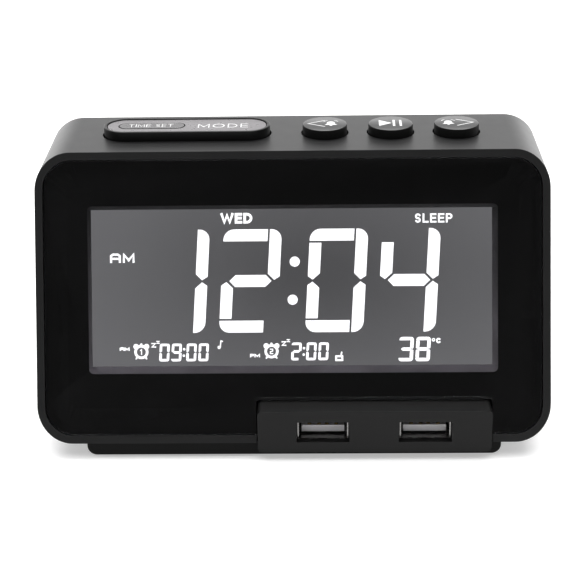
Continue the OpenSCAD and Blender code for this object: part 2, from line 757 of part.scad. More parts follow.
module rear_board() color([0.05, 0.25, 0.13]) difference() {
    block([-60, -20], [rear_post_y - 3, y_seam - 0.8], [rear_board_z, rear_board_z + board_t]);
    for (x = rear_post_xs)
        translate([x, rear_post_y, rear_board_z - 1]) cylinder(h = board_t + 2, r = 1.3);
}

module dc_jack() color([0.1, 0.1, 0.1]) {
    difference() {
        union() {
            block([dc_x - 4.5, dc_x + 4.5], [12, y_seam], [rear_board_z + board_t, dc_z + 4.6]);
            bar_y(dc_x, dc_z, [y_seam - 0.1, y_back - 0.1], 4);
        }
        bar_y(dc_x, dc_z, [y_back - 12, y_back + 1], dc_bore_r);
    }
    bar_y(dc_x, dc_z, [y_back - 12.1, y_back - 1.2], 1);
}

module aux_jack() color([0.1, 0.1, 0.1]) difference() {
    union() {
        block([aux_x - 3.7, aux_x + 3.7], [13, y_seam], [rear_board_z + board_t, aux_z + 3.7]);
        bar_y(aux_x, aux_z, [y_seam - 0.1, y_back - 0.1], 3);
    }
    bar_y(aux_x, aux_z, [y_back - aux_depth, y_back + 1], aux_bore_r);
}

module antenna_gland() color([0.12, 0.12, 0.12])
    turned_y(gland_x, gland_z, [[0.9, y_seam - 1.4], [2.9, y_seam - 1.4], [2.9, y_seam],
        [2.4, y_seam], [2.4, y_back - 1], [3.4, y_back - 1], [3.4, y_back - 0.5],
        [2.6, y_back], [0.9, y_back]]);

module speaker_basket() color([0.2, 0.2, 0.21]) difference() {
    union() {
        turned_y(0, speaker_z, [[6, 13], [12, 13], [17, 23], [17.2, y_seam - 1.3],
            [speaker_d/2, y_seam - 1.3], [speaker_d/2, y_seam - 0.1], [16.4, y_seam - 0.1],
            [16.4, 23.4], [15, 23.4], [11.2, 14], [6, 14]]);
        for (sx = [-1, 1], sz = [-1, 1])
            bar_y(sx*speaker_screw, speaker_z + sz*speaker_screw, [y_seam - 1.3, y_seam - 0.1], 3.2);
    }
    bar_y(0, speaker_z, [y_seam - 2.55, y_seam], 16.4);
    for (sx = [-1, 1], sz = [-1, 1])
        bar_y(sx*speaker_screw, speaker_z + sz*speaker_screw, [y_seam - 3, y_seam + 1], 0.9);
}

module speaker_magnet() color([0.18, 0.18, 0.18])
    turned_y(0, speaker_z, [[6.5, 8], [magnet_r, 8], [magnet_r, 13], [6.5, 13]]);

module speaker_yoke() color([0.6, 0.6, 0.6])
    turned_y(0, speaker_z, [[0, 6.5], [magnet_r - 0.5, 6.5], [magnet_r - 0.5, 8],
        [coil_r - 0.4, 8], [coil_r - 0.4, 15.5], [0, 15.5]]);

module voice_coil() color([0.75, 0.4, 0.2])
    turned_y(0, speaker_z, [[coil_r, 10.5], [coil_r + 0.5, 10.5], [coil_r + 0.5, 17.1],
        [coil_r, 17.1]]);

// Points of an arc about (0, c) in the turned outline, from the axis out to radius r
function dome(c, R, r) = [for (i = [0:8]) let (a = asin(r/R)*i/8) [R*sin(a), c + R*cos(a)]];
function backwards(v) = [for (i = [len(v) - 1:-1:0]) v[i]];

module speaker_cone() color([0.08, 0.08, 0.08]) {
    turned_y(0, speaker_z, [[coil_r + 0.5, 16.7], [12.9, 22.6], [12.7, 23.1],
        [coil_r + 0.5, 17.3]]);
    turned_y(0, speaker_z, concat(dome(11.6, 8, 5.9), backwards(dome(11.6, 7.6, 5.6))));
}

module speaker_surround() color([0.1, 0.1, 0.1])
    turned_y(0, speaker_z, concat([[16.3, 23.4], [16.3, 23.8], [15.1, 23.8]],
        [for (i = [1:8]) [14.2 + 0.95*cos(i*22.5), 23.4 + 0.95*sin(i*22.5)]],
        [for (i = [8:-1:0]) [14.2 + 0.6*cos(i*22.5), 23.4 + 0.6*sin(i*22.5)]]));

module speaker_screws() color([0.6, 0.6, 0.62])
    for (sx = [-1, 1], sz = [-1, 1])
        screw_y(sx*speaker_screw, speaker_z + sz*speaker_screw, y_seam - 1.3, 2.8, 0.9, 1.8, 1.2);

module grille_cloth() color([0.05, 0.05, 0.05])
    bar_y(0, speaker_z, [y_seam + 0.6, y_seam + 1], speaker_d/2 - 1.6);

// A wire through a list of points
module wire(points, r, $fn = 8) {
    for (i = [0:len(points) - 2]) {
        d = points[i + 1] - points[i];
        translate(points[i]) rotate([0, acos(d[2]/norm(d)), atan2(d[1], d[0])])
            cylinder(h = norm(d), r = r);
    }
    for (i = [1:len(points) - 2])
        translate(points[i]) sphere(r = r);
}

module speaker_lead() color([0.6, 0.1, 0.1])
    wire([[-40.5, face_y(23, n_parts + 4), face_z(23, n_parts + 4)],
        [-40.5, face_y(23, n_parts + 8), face_z(23, n_parts + 8)],
        [-26, 14, 30], [-19.5, 20, 37], [-18, 22.5, 38], [-18, y_seam - 1.3, 38]], 0.7);

module power_lead() color([0.1, 0.1, 0.1])
    wire([[-44, face_y(23, n_parts + 4), face_z(23, n_parts + 4)],
        [-44, face_y(23, n_parts + 9), face_z(23, n_parts + 9)],
        [-40, 9.8, 14], [-40, 9.8, rear_board_z + board_t]], 0.7);

module battery_door() color([0.11, 0.11, 0.11]) difference() {
    union() {
        plate_y([y_back - hatch_t, y_back]) translate([cell_x, cell_z])
            round_rect(hatch_w - 2*slack, hatch_w - 2*slack, 2);
        for (sz = [-1, 1])
            block([cell_x - 2.8, cell_x + 2.8], [y_back - hatch_t - 2, y_back - hatch_t + 0.1],
                sz > 0 ? [cell_z + hatch_w/2 - 1.4, cell_z + hatch_w/2 - 0.3]
                    : [cell_z - hatch_w/2 + 0.3, cell_z - hatch_w/2 + 1.4]);
    }
    plate_y([y_back - 0.6, y_back + 1]) translate([cell_x, cell_z + 7.5]) stadium(10, 3.6);
    for (i = [0:3])
        block([cell_x - 5, cell_x + 5], [y_back - 0.4, y_back + 1],
            [cell_z - 8 + i*1.6, cell_z - 7.3 + i*1.6]);
}

module coin_cell() color([0.8, 0.8, 0.8])
    turned_y(cell_x, cell_z, [[0, cell_y0], [8.6, cell_y0], [8.6, cell_y0 + 0.4],
        [cell_r, cell_y0 + 0.6], [cell_r, cell_y0 + cell_t2], [0, cell_y0 + cell_t2]]);

module cell_contacts() color([0.85, 0.8, 0.6]) {
    translate([cell_x - 3, 0, 0]) rotate([90, 0, 90]) linear_extrude(6)
        polygon([[y_back - tray_d, cell_z - 7], [y_back - tray_d + 0.3, cell_z - 7],
            [y_back - tray_d + 0.3, cell_z - 4.5], [cell_y0, cell_z + 4],
            [cell_y0, cell_z + 5], [y_back - tray_d, cell_z - 4]]);
    block([cell_x + cell_r, cell_x + cell_r + 0.3], [y_back - tray_d, cell_y0 + 2.6],
        [cell_z - 2, cell_z + 2]);
}

main_case();
rear_cover();
base_plinth();
rubber_feet();
front_panel();
panel_mask();
lcd_frame();
lcd_glass();
light_guide();
diffuser_film();
reflector_film();
backlight_board();
backlight_leds();
zebra_strip();
main_board();
main_chip();
radio_module();
capacitors();
wire_connectors();
display_screws();
usb_housing();
usb_shells();
usb_tongues();
usb_contacts();
usb_board();
usb_lead();
key_bezel();
mode_key();
time_set_key();
back_button();
play_button();
forward_button();
mode_plunger();
time_set_plunger();
back_plunger();
play_plunger();
forward_plunger();
key_switches();
key_board();
board_screws();
key_ribbon();
rear_board();
dc_jack();
aux_jack();
antenna_gland();
speaker_basket();
speaker_magnet();
speaker_yoke();
speaker_cone();
voice_coil();
speaker_surround();
speaker_screws();
speaker_lead();
power_lead();
grille_cloth();
battery_door();
coin_cell();
cell_contacts();
cover_screws();
base_screws();
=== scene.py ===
import json
import math

import bmesh
import bpy
from mathutils import Matrix, Vector


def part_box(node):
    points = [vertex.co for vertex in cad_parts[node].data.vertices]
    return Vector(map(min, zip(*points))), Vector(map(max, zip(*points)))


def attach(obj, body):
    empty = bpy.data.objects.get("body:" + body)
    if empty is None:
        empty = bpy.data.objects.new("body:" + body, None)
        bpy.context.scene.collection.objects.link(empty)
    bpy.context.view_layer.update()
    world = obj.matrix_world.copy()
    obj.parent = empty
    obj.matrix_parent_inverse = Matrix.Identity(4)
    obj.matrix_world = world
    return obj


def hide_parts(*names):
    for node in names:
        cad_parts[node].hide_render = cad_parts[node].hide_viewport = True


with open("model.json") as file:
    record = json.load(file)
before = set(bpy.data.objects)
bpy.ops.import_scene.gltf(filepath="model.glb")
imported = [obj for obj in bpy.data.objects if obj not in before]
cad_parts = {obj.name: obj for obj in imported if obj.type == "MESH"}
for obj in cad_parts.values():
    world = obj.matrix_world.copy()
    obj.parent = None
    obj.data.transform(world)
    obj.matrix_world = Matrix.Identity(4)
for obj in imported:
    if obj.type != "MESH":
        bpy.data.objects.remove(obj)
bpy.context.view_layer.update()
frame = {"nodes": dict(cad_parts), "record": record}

MM = 0.001
BODY_OF = {node: body for body, nodes in frame["record"]["behaviour"]["bodies"].items() for node in nodes}
SLOT_OF = {part["node"]: part["material_slot"] for part in frame["record"]["subparts"]}


# ---------- the face's own frame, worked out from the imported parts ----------

def widest_normal(node):
    """The normal of a slab's largest face."""
    faces = frame["nodes"][node].data.polygons
    return max(faces, key=lambda face: face.area).normal.copy()


CASE_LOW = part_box("main_case")[0]
FACE_OUT = widest_normal("lcd_glass")
if FACE_OUT.y > 0:
    FACE_OUT = -FACE_OUT
FACE_UP = Vector((0, FACE_OUT.z, -FACE_OUT.y))
FACE_FOOT = Vector((0, CASE_LOW.y, CASE_LOW.z))


def face_matrix(x, s, n):
    """A place on the face, in mm: x to the right, s up the face, n behind the rim. Local Z points out."""
    at = FACE_FOOT + Vector((x * MM, 0, 0)) + FACE_UP * (s * MM) - FACE_OUT * (n * MM)
    return Matrix.Translation(at) @ Matrix((
        (MM, 0, 0, 0),
        (0, FACE_UP.y * MM, FACE_OUT.y * MM, 0),
        (0, FACE_UP.z * MM, FACE_OUT.z * MM, 0),
        (0, 0, 0, 1)))


def top_matrix(x, y, z):
    """A place on a level surface, in metres, with a local frame in mm."""
    return Matrix.Translation((x, y, z)) @ Matrix.Diagonal((MM, MM, MM, 1))


def behind_rim(node):
    """The least distance of a node behind the rim, in mm."""
    return min(-(v.co - FACE_FOOT).dot(FACE_OUT) for v in frame["nodes"][node].data.vertices) / MM


# ---------- materials ----------

# Most of a noise texture lies between these values
NOISE_LOW, NOISE_HIGH = 0.3, 0.7
NOISE_ROUGHNESS = 0.55
ACRYLIC_IOR = 1.49
# Two threads of the grille cloth to a wave
WAVES_PER_MM = 0.8
# Unevenness of the backlight, and how far the oval in its middle is dimmed
LIGHT_PER_MM = 0.02
VIGNETTE_DIM = 0.50


class Finish:
    """A node material: a principled shader with object coordinates to build on."""

    def __init__(self, name, **settings):
        self.material = bpy.data.materials.new(name)
        self.material.use_nodes = True
        self.nodes = self.material.node_tree.nodes
        self.links = self.material.node_tree.links
        self.shader = self.nodes["Principled BSDF"]
        self.coords = self.nodes.new("ShaderNodeTexCoord").outputs["Object"]
        for socket, value in settings.items():
            self.shader.inputs[socket.replace("_", " ")].default_value = value

    def noise(self, per_mm, detail=3.0, stretch=None):
        node = self.nodes.new("ShaderNodeTexNoise")
        node.inputs["Scale"].default_value = per_mm / MM
        node.inputs["Detail"].default_value = detail
        node.inputs["Roughness"].default_value = NOISE_ROUGHNESS
        self.links.new(self.stretched(stretch), node.inputs["Vector"])
        return node.outputs["Fac"]

    def cells(self, per_mm, feature="F1"):
        node = self.nodes.new("ShaderNodeTexVoronoi")
        node.feature = feature
        node.inputs["Scale"].default_value = per_mm / MM
        self.links.new(self.coords, node.inputs["Vector"])
        return node.outputs["Distance"]

    def waves(self, per_mm, direction):
        node = self.nodes.new("ShaderNodeTexWave")
        node.bands_direction = direction
        node.inputs["Scale"].default_value = per_mm / MM
        node.inputs["Distortion"].default_value = 0.0
        self.links.new(self.coords, node.inputs["Vector"])
        return node.outputs["Fac"]

    def stretched(self, stretch):
        if stretch is None:
            return self.coords
        node = self.nodes.new("ShaderNodeMapping")
        node.inputs["Scale"].default_value = stretch
        self.links.new(self.coords, node.inputs["Vector"])
        return node.outputs["Vector"]

    def spread(self, value, low, high, start=NOISE_LOW, end=NOISE_HIGH):
        """A texture value, spread from low to high."""
        node = self.nodes.new("ShaderNodeMapRange")
        node.inputs["From Min"].default_value = start
        node.inputs["From Max"].default_value = end
        node.inputs["To Min"].default_value = low
        node.inputs["To Max"].default_value = high
        self.links.new(value, node.inputs["Value"])
        return node.outputs["Result"]

    def ramp(self, value, *stops):
        node = self.nodes.new("ShaderNodeValToRGB")
        elements = node.color_ramp.elements
        while len(elements) < len(stops):
            elements.new(0.5)
        for element, (at, colour) in zip(elements, stops):
            element.position = at
            element.color = (*colour, 1)
        self.links.new(value, node.inputs["Fac"])
        return node.outputs["Color"]

    def combine(self, first, second, operation="MULTIPLY"):
        node = self.nodes.new("ShaderNodeMath")
        node.operation = operation
        self.links.new(first, node.inputs[0])
        self.links.new(second, node.inputs[1])
        return node.outputs["Value"]

    def clouded(self, value, low, high):
        """A base colour that runs from low to high over the middle of a noise."""
        return self.colour(self.ramp(value, (NOISE_LOW, low), (NOISE_HIGH, high)))

    def colour(self, value):
        self.links.new(value, self.shader.inputs["Base Color"])
        return self

    def rough(self, value):
        self.links.new(value, self.shader.inputs["Roughness"])
        return self

    def bump(self, height, depth_mm, strength=1.0):
        node = self.nodes.new("ShaderNodeBump")
        node.inputs["Distance"].default_value = depth_mm * MM
        node.inputs["Strength"].default_value = strength
        self.links.new(height, node.inputs["Height"])
        if self.shader.inputs["Normal"].is_linked:
            self.links.new(self.shader.inputs["Normal"].links[0].from_socket, node.inputs["Normal"])
        self.links.new(node.outputs["Normal"], self.shader.inputs["Normal"])
        return self


def shade(colour, factor):
    """A colour made lighter or darker."""
    return tuple(min(1.0, c * factor) for c in colour)


def moulded(name, colour, roughness, grain_mm=0.16, depth_mm=0.004, spread=0.12, **settings):
    """Moulded plastic: spark-eroded grain, faint cloudiness of colour and slightly uneven sheen."""
    finish = Finish(name, **settings)
    cloud = finish.noise(0.05, detail=4)
    grain = finish.noise(1 / grain_mm, detail=2)
    finish.clouded(cloud, shade(colour, 1 - spread), shade(colour, 1 + spread))
    finish.rough(finish.spread(finish.noise(0.22), roughness - 0.01, roughness + 0.015))
    finish.bump(grain, depth_mm)
    return finish


def polished(name, colour, roughness, **settings):
    """Smooth moulded or coated surface with faint flow lines and fine handling haze."""
    finish = Finish(name, **settings)
    finish.clouded(finish.noise(0.08), shade(colour, 0.93), shade(colour, 1.07))
    finish.rough(finish.spread(finish.noise(0.6, detail=5), roughness * 0.8, roughness * 1.3))
    finish.bump(finish.noise(0.12), 0.004)
    return finish


def metal(name, colour, roughness, grain=(1, 1, 1)):
    """Metal with drawn grain along one axis and dull patches."""
    finish = Finish(name, Metallic=1.0)
    finish.clouded(finish.noise(0.7, detail=5), shade(colour, 0.85), shade(colour, 1.08))
    finish.rough(finish.spread(finish.noise(3.0, stretch=grain), roughness * 0.7, roughness * 1.4))
    finish.bump(finish.noise(6.0, stretch=grain), 0.002)
    return finish


def circuit_board():
    """Green solder resist over copper tracks, with bare pads and the weave of the laminate."""
    finish = Finish("solder_resist", Coat_Weight=0.4, Coat_Roughness=0.12)
    tracks = finish.cells(0.32, feature="DISTANCE_TO_EDGE")
    pads = finish.cells(0.4)
    track, gap = (0.05, 0.30, 0.12), (0.012, 0.13, 0.05)
    green = finish.ramp(tracks, (0.0, track), (0.10, track), (0.14, gap))
    mix = finish.nodes.new("ShaderNodeMix")
    mix.data_type = "RGBA"
    mix.inputs["B"].default_value = (0.72, 0.70, 0.62, 1)
    finish.links.new(finish.spread(pads, 1, 0, 0.10, 0.13), mix.inputs["Factor"])
    finish.links.new(green, mix.inputs["A"])
    finish.colour(mix.outputs["Result"])
    finish.rough(finish.spread(finish.noise(1.5), 0.28, 0.42))
    finish.bump(finish.waves(1.4, "X"), 0.01, 0.3)
    finish.bump(tracks, 0.03, 0.4)
    return finish


def woven(name, colour):
    """Plain weave of fine yarn."""
    finish = Finish(name, Sheen_Weight=0.3, Sheen_Roughness=0.5)
    across = finish.waves(WAVES_PER_MM, "X")
    along = finish.waves(WAVES_PER_MM, "Z")
    weave = finish.combine(across, along)
    finish.colour(finish.ramp(weave, (0.0, shade(colour, 0.3)), (0.6, shade(colour, 1.4))))
    finish.rough(finish.spread(finish.noise(2.0), 0.75, 0.95))
    finish.bump(weave, 0.1)
    return finish


def dimmed_middle(finish, light, offset, radii_mm):
    """A light that is dimmer inside an oval, placed from the middle of the display cell."""
    place = finish.nodes.new("ShaderNodeMapping")
    place.vector_type = "TEXTURE"
    place.inputs["Location"].default_value = sum(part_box("lcd_glass"), Vector()) / 2 + Vector(offset)
    place.inputs["Scale"].default_value = [radius * MM for radius in radii_mm]
    oval = finish.nodes.new("ShaderNodeTexGradient")
    oval.gradient_type = "SPHERICAL"
    finish.links.new(finish.coords, place.inputs["Vector"])
    finish.links.new(place.outputs["Vector"], oval.inputs["Vector"])
    mix = finish.nodes.new("ShaderNodeMix")
    mix.data_type = "RGBA"
    mix.blend_type = "MULTIPLY"
    mix.inputs["Factor"].default_value = 1.0
    finish.links.new(light, mix.inputs["A"])
    shadow = finish.ramp(oval.outputs["Fac"], (0.1, (1, 1, 1)), (0.9, (VIGNETTE_DIM,) * 3))
    finish.links.new(shadow, mix.inputs["B"])
    return mix.outputs["Result"]


def glowing(name, colour, strength, low=0.94, vignette=None):
    """A lit surface whose light is slightly uneven, as a backlight is."""
    finish = Finish(name, Base_Color=(0.02, 0.02, 0.02, 1), Roughness=0.5, Specular_IOR_Level=0.1)
    light = finish.noise(LIGHT_PER_MM, detail=1)
    light = finish.ramp(light, (NOISE_LOW, shade(colour, low)), (NOISE_HIGH, colour))
    if vignette:
        light = dimmed_middle(finish, light, *vignette)
    finish.links.new(light, finish.shader.inputs["Emission Color"])
    finish.shader.inputs["Emission Strength"].default_value = strength
    return finish


def clear(name, colour, roughness):
    """Clear acrylic with a trace of haze."""
    finish = Finish(name, Transmission_Weight=1.0, IOR=ACRYLIC_IOR)
    finish.clouded(finish.noise(0.05), shade(colour, 0.97), colour)
    finish.rough(finish.spread(finish.noise(0.4, detail=5), roughness * 0.5, roughness * 1.5))
    return finish


def frame_plastic():
    """Grey moulding round the display with painted light: lighter towards its lower side, where the overhead
    light falls, and painted shade darker towards its top.
    """
    finish = Finish("frame_plastic", Roughness=0.5, Specular_IOR_Level=0.3)
    low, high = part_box("lcd_frame")
    split = finish.nodes.new("ShaderNodeSeparateXYZ")
    finish.links.new(finish.coords, split.inputs["Vector"])
    height = finish.spread(split.outputs["Z"], 0, 1, low.z, high.z)
    cloud = finish.spread(finish.noise(0.08, detail=3), -0.12, 0.12)
    height = finish.combine(height, cloud, "ADD")
    # Painted light and shade: the light grey low on the frame is painted light, the dark grey high on it
    # painted shade
    painted_light_grey, grey, dark = (0.24, 0.22, 0.245), (0.15, 0.14, 0.15), (0.03, 0.029, 0.03)
    finish.colour(finish.ramp(height, (0.05, painted_light_grey), (0.35, grey), (0.9, dark)))
    finish.bump(finish.noise(6.0, detail=2), 0.004)
    return finish


# A finish for each material slot of the record
FINISHES = {
    "case_plastic": moulded("case_plastic", (0.0055, 0.0055, 0.0057), 0.36, depth_mm=0.003),
    "block_plastic": moulded("block_plastic", (0.0052, 0.0052, 0.0052), 0.40, Specular_IOR_Level=0.16),
    "bezel_plastic": moulded(
        "bezel_plastic", (0.006, 0.006, 0.006), 0.30, depth_mm=0.002, Specular_IOR_Level=0.3),
    "frame_plastic": frame_plastic(),
    "smoked_acrylic": clear("smoked_acrylic", (0.80, 0.80, 0.82), 0.02),
    "mask_ink": moulded("mask_ink", (0.0012, 0.0010, 0.0012), 0.45, depth_mm=0.0, Specular_IOR_Level=0.1),
    "display_glass": polished("display_glass", (0.03, 0.03, 0.032), 0.12),
    "clear_acrylic": clear("clear_acrylic", (0.93, 0.96, 0.97), 0.05),
    "white_film": moulded("white_film", (0.82, 0.82, 0.80), 0.5, spread=0.03),
    "mirror_film": metal("mirror_film", (0.92, 0.92, 0.92), 0.08),
    "led": polished("led", (0.9, 0.8, 0.35), 0.3),
    "silicone": moulded("silicone", (0.55, 0.22, 0.30), 0.6),
    "circuit_board": circuit_board(),
    "chip_resin": moulded("chip_resin", (0.018, 0.018, 0.019), 0.55, grain_mm=0.1),
    "tinned_steel": metal("tinned_steel", (0.62, 0.62, 0.63), 0.28, grain=(1, 0.1, 0.1)),
    "bright_steel": metal("bright_steel", (0.22, 0.215, 0.21), 0.24, grain=(0.1, 1, 1)),
    "capacitor_sleeve": polished("capacitor_sleeve", (0.02, 0.02, 0.07), 0.25),
    "ivory_plastic": moulded("ivory_plastic", (0.75, 0.70, 0.55), 0.4, spread=0.04),
    "white_plastic": moulded("white_plastic", (0.60, 0.59, 0.60), 0.38, spread=0.05),
    "gold_contact": metal("gold_contact", (0.78, 0.55, 0.22), 0.22, grain=(1, 0.1, 1)),
    "zinc_screw": metal("zinc_screw", (0.55, 0.56, 0.60), 0.3),
    "black_screw": metal("black_screw", (0.05, 0.05, 0.055), 0.38),
    "key_plate": polished("key_plate", (0.125, 0.117, 0.123), 0.30, Coat_Weight=0.25, Coat_Roughness=0.15),
    "key_inner": polished("key_inner", (0.070, 0.066, 0.069), 0.30, Coat_Weight=0.25, Coat_Roughness=0.15),
    "button_cap": moulded("button_cap", (0.030, 0.030, 0.0303), 0.34, depth_mm=0.002),
    "lead_sleeve": moulded("lead_sleeve", (0.03, 0.03, 0.03), 0.5),
    "black_nylon": moulded("black_nylon", (0.02, 0.02, 0.02), 0.4),
    "speaker_steel": moulded("speaker_steel", (0.05, 0.05, 0.05), 0.35, grain_mm=0.3),
    "ferrite": moulded("ferrite", (0.03, 0.028, 0.028), 0.6, grain_mm=0.3, depth_mm=0.02),
    "cone_paper": moulded("cone_paper", (0.02, 0.02, 0.02), 0.7, grain_mm=0.4, depth_mm=0.03),
    "copper_coil": metal("copper_coil", (0.65, 0.28, 0.12), 0.3, grain=(0.1, 4, 0.1)),
    "grille_fabric": woven("grille_fabric", (0.02, 0.02, 0.021)),
    "rubber": moulded("rubber", (0.022, 0.022, 0.022), 0.75, grain_mm=0.25, depth_mm=0.01),
}
# A lighter black for the USB block's eased edges: a painted highlight standing in for their glint
PAINTED_EDGE_HIGHLIGHT = moulded("painted_edge_highlight", (0.045, 0.045, 0.045), 0.3).material
KEY_WALL = moulded("key_wall", (0.004, 0.004, 0.004), 0.5, Specular_IOR_Level=0.1).material
KEY_INK = polished("legend_ink", (0.62, 0.62, 0.62), 0.4).material
VIGNETTE = ((0.006, 0, 0.005), (75, 60, 38))
LIT_FIELD = glowing("lit_field", (0.185, 0.184, 0.189), 1.0, vignette=VIGNETTE).material
LIT_SEGMENT = glowing("lit_segment", (1.0, 1.0, 1.0), 1.9, low=0.97).material
PLINTH = moulded("plinth_plastic", (0.005, 0.005, 0.005), 0.55, Specular_IOR_Level=0.08).material

for node, obj in frame["nodes"].items():
    obj.data.materials.clear()
    obj.data.materials.append(PLINTH if node == "base_plinth" else FINISHES[SLOT_OF[node]].material)


# ---------- meshes ----------

WELD_MM = 0.001
FLAT_DEGREES = 0.4
SHARP_DEGREES = 40.0
BEVEL_SEGMENTS = 3
# How much is eased off each moulding's sharp edges, in mm
EASING = {
    "main_case": 0.3, "rear_cover": 0.25, "base_plinth": 0.3, "usb_housing": 0.4, "key_bezel": 0.18,
    "mode_key": 0.12, "time_set_key": 0.1, "back_button": 0.08, "play_button": 0.08,
    "forward_button": 0.08, "battery_door": 0.15, "front_panel": 0.12,
}
# A key's coated cap faces up and lies within this depth of its top, in mm
CAP_NORMAL = 0.9
CAP_DEPTH = 0.6


def link(name, data):
    obj = bpy.data.objects.new(name, data)
    bpy.context.scene.collection.objects.link(obj)
    return obj


def add_piece(name, mesh, body, material):
    mesh.materials.append(material)
    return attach(link(name, mesh), body)


def soften(node, width_mm):
    """A moulded piece in place of a CAD node: the same shape with its sharp edges eased."""
    mesh = frame["nodes"][node].data.copy()
    mesh.name = node + "_moulding"
    work = bmesh.new()
    work.from_mesh(mesh)
    bmesh.ops.remove_doubles(work, verts=work.verts, dist=WELD_MM * MM)
    flat = math.radians(FLAT_DEGREES)
    bmesh.ops.dissolve_limit(work, angle_limit=flat, verts=work.verts, edges=work.edges)
    work.to_mesh(mesh)
    work.free()
    if mesh.has_custom_normals:
        mesh.attributes.remove(mesh.attributes["custom_normal"])
    for face in mesh.polygons:
        face.use_smooth = True
    obj = link(node + "_moulding", mesh)
    bevel = obj.modifiers.new("eased_edges", "BEVEL")
    bevel.width = width_mm * MM
    bevel.segments = BEVEL_SEGMENTS
    bevel.limit_method = "ANGLE"
    bevel.angle_limit = math.radians(SHARP_DEGREES)
    bevel.harden_normals = True
    bevel.miter_outer = "MITER_ARC"
    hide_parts(node)
    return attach(obj, BODY_OF[node])


for node, width in EASING.items():
    soften(node, width)

# The USB block's eased outer edges get a lighter black: a painted highlight along its edges
block = bpy.data.objects["usb_housing_moulding"]
block.data.materials.append(PAINTED_EDGE_HIGHLIGHT)
block.modifiers["eased_edges"].material = 1

# Keys are coated on top and dull black below
for node in ("back_button", "play_button", "forward_button", "mode_key", "time_set_key"):
    mesh = bpy.data.objects[node + "_moulding"].data
    mesh.materials.append(KEY_WALL)
    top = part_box(node)[1].z
    for face in mesh.polygons:
        is_cap = face.normal.z > CAP_NORMAL and face.center.z > top - CAP_DEPTH * MM
        face.material_index = 0 if is_cap else 1


# ---------- flat shapes, in mm ----------

LEVELS = 5
LEVEL_STEP = 0.002
MITRE_LIMIT = 0.55


def prisms(name, loops, thickness):
    """Plates cut to closed 2-D loops. Plates that overlap differ in height, so their faces never coincide."""
    work = bmesh.new()
    for number, loop in enumerate(loops):
        top = thickness / 2 - number % LEVELS * LEVEL_STEP
        low = [work.verts.new((x, y, -thickness / 2)) for x, y in loop]
        high = [work.verts.new((x, y, top)) for x, y in loop]
        work.faces.new(high)
        work.faces.new(low[::-1])
        for i in range(len(loop)):
            work.faces.new((low[i - 1], low[i], high[i], high[i - 1]))
    bmesh.ops.recalc_face_normals(work, faces=work.faces)
    mesh = bpy.data.meshes.new(name)
    work.to_mesh(mesh)
    work.free()
    return mesh


def arc(cx, cy, r, start, end, steps=12):
    """Points along an arc from one angle to another, in degrees."""
    return [(cx + r * math.cos(math.radians(start + (end - start) * i / steps)),
             cy + r * math.sin(math.radians(start + (end - start) * i / steps))) for i in range(steps + 1)]


def disc(cx, cy, r, steps=24):
    return arc(cx, cy, r, 0, 360 - 360 / steps, steps - 1)


def strokes(points, width, square=False):
    """Loops of a line through points with mitred joints and round or square ends."""
    half = width / 2
    points = [Vector(point) for point in points]
    closed = (points[0] - points[-1]).length < half / 10
    runs = [(after - before).normalized() for before, after in zip(points, points[1:])]
    sides = []
    for i in range(len(points)):
        before = runs[i - 1] if i or closed else runs[0]
        after = runs[i] if i < len(runs) else (runs[0] if closed else runs[-1])
        across = Vector((-before.y - after.y, before.x + after.x))
        across = across.normalized() if across.length > 0.01 else Vector((-before.y, before.x))
        lean = max(abs(across.dot(Vector((-before.y, before.x)))), MITRE_LIMIT)
        sides.append(across * half / lean)
    ends = [points[0], points[-1]]
    if square and not closed:
        points[0] = points[0] - runs[0] * half
        points[-1] = points[-1] + runs[-1] * half
    loops = [[p + m, p - m, q - n, q + n] for p, m, q, n in zip(points, sides, points[1:], sides[1:])]
    if not (square or closed):
        for end, run in ((ends[0], -runs[0]), (ends[1], runs[-1])):
            facing = math.degrees(math.atan2(run.y, run.x))
            loops.append(arc(end.x, end.y, half, facing - 90, facing + 90, 6))
    return loops


def ring(cx, cy, r, width):
    """Loops of a ring whose outer radius is r."""
    return strokes(arc(cx, cy, r - width / 2, 0, 360, 28), width)


def moved(loops, x, y, scale=1.0):
    """The loops scaled about the origin, and then moved by x and y."""
    return [[(x + px * scale, y + py * scale) for px, py in loop] for loop in loops]


# Between letters, as a share of their height
LETTER_SPACE = 0.34
# Line letters one unit high: the width of each and its lines
LETTERS = {
    "C": (0.80, [arc(0.45, 0.5, 0.45, 50, 310, 10)]),
    "D": (0.78, [[(0, 0), (0, 1)] + arc(0.28, 0.5, 0.5, 90, -90, 8) + [(0, 0)]]),
    "E": (0.60, [[(0.60, 0), (0, 0), (0, 1), (0.60, 1)], [(0, 0.52), (0.54, 0.52)]]),
    "I": (0.0, [[(0, 0), (0, 1)]]),
    "L": (0.55, [[(0, 1), (0, 0), (0.55, 0)]]),
    "M": (0.95, [[(0, 0), (0, 1), (0.475, 0.2), (0.95, 1), (0.95, 0)]]),
    "O": (1.0, [arc(0.5, 0.5, 0.5, 0, 360, 16)]),
    "P": (0.62, [[(0, 0), (0, 1), (0.34, 1)] + arc(0.35, 0.73, 0.27, 90, -90, 6) + [(0, 0.46)]]),
    "S": (0.62, [arc(0.32, 0.74, 0.26, 30, 270, 8) + arc(0.32, 0.25, 0.25, 85, -150, 8)]),
    "T": (0.76, [[(0, 1), (0.76, 1)], [(0.38, 1), (0.38, 0)]]),
    "W": (1.30, [[(0, 1), (0.32, 0), (0.65, 0.9), (0.98, 0), (1.30, 1)]]),
    "Z": (0.75, [[(0, 1), (0.75, 1), (0, 0), (0.75, 0)]]),
    "a": (0.86, [[(0, 0), (0, 0.8), (0.2, 1), (0.66, 1), (0.86, 0.8), (0.86, 0)], [(0, 0.42), (0.86, 0.42)]]),
    " ": (0.2, []),
}


